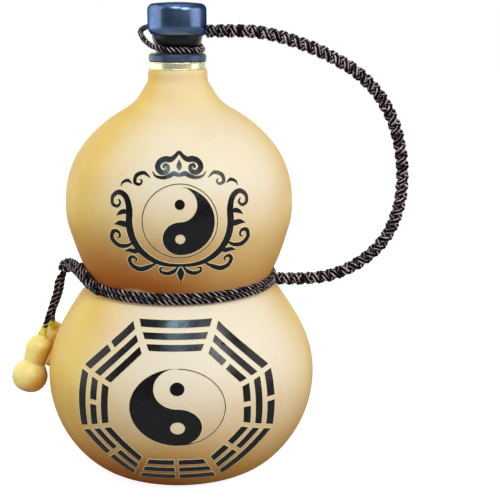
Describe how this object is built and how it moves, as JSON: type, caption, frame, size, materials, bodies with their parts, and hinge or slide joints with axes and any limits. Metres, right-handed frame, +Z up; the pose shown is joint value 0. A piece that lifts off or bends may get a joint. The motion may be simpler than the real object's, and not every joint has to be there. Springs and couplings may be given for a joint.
{
  "type": "gourd water bottle",
  "caption": "Natural gourd bottle with a screw cap on a turned spout, a braided cord handle, a cord wound round its waist and hanging gourd charms.",
  "frame": {"origin": "middle of the gourd's base, on the bottle's axis, at the surface that it stands on", "axes": "+Z up the bottle's axis, +X towards the handle, -Y towards the patterned front"},
  "size_m": [0.2008, 0.1342, 0.229],
  "materials": {
    "gourd_skin": "polished dried gourd with burnt-in black pattern",
    "pattern_ink": "glossy black burnt and lacquered pattern",
    "pattern_halo": "pale scraped line beside the pattern",
    "beeswax": "satin wax",
    "ferrule_brass": "polished",
    "washer_rubber": "matt",
    "spout_black": "satin turned black-brown",
    "cap_black": "high gloss",
    "plug_plastic": "satin",
    "seal_silicone": "satin",
    "cord_brown": "shiny twisted cord",
    "charm_skin": "polished",
    "charm_stem": "waxed yellow"
  },
  "bodies": {
    "bottle": {"gourd_shell": "gourd_skin", "wax_lining": "beeswax", "neck_ferrule": "ferrule_brass", "mouth_washer": "washer_rubber", "spout": "spout_black", "waist_winding": "cord_brown", "side_knot": "cord_brown", "mouth_loop": "cord_brown", "handle_braid": "cord_brown"},
    "seal": {"cap_seal": "seal_silicone"},
    "cap": {"cap_shell": "cap_black", "cap_plug": "plug_plastic"},
    "tail": {"tail_cord_a": "cord_brown", "tail_cord_b": "cord_brown"},
    "charm_a": {"charm_a_gourd": "charm_skin", "charm_a_stem": "charm_stem"},
    "charm_b": {"charm_b_gourd": "charm_skin", "charm_b_stem": "charm_stem"}
  },
  "joints": [
    {"name": "cap_lift", "type": "slide", "parent": "bottle", "child": "seal", "axis": [0, 0, 1], "range_m": [0, 0.016]},
    {"name": "cap_turn", "type": "hinge", "parent": "seal", "child": "cap", "pos_m": [0, 0, 0.214], "axis": [0, 0, 1], "range_deg": [0, 1440.5]},
    {"name": "tail_swing", "type": "hinge", "parent": "bottle", "child": "tail", "pos_m": [-0.0564, 0.008, 0.099], "axis": [0, 1, 0], "range_deg": [0, 35]},
    {"name": "charm_a_spin", "type": "hinge", "parent": "tail", "child": "charm_a", "pos_m": [-0.069, 0.002, 0.0684], "axis": [0.3141, 0.0766, 0.9463], "continuous": true},
    {"name": "charm_b_spin", "type": "hinge", "parent": "tail", "child": "charm_b", "pos_m": [-0.0674, 0.02, 0.0675], "axis": [0.0567, -0.559, 0.8272], "continuous": true}
  ],
  "couplings": [
    {"joint": "cap_turn", "follows": "cap_lift", "rad_per_m": 1570.8}
  ]
}
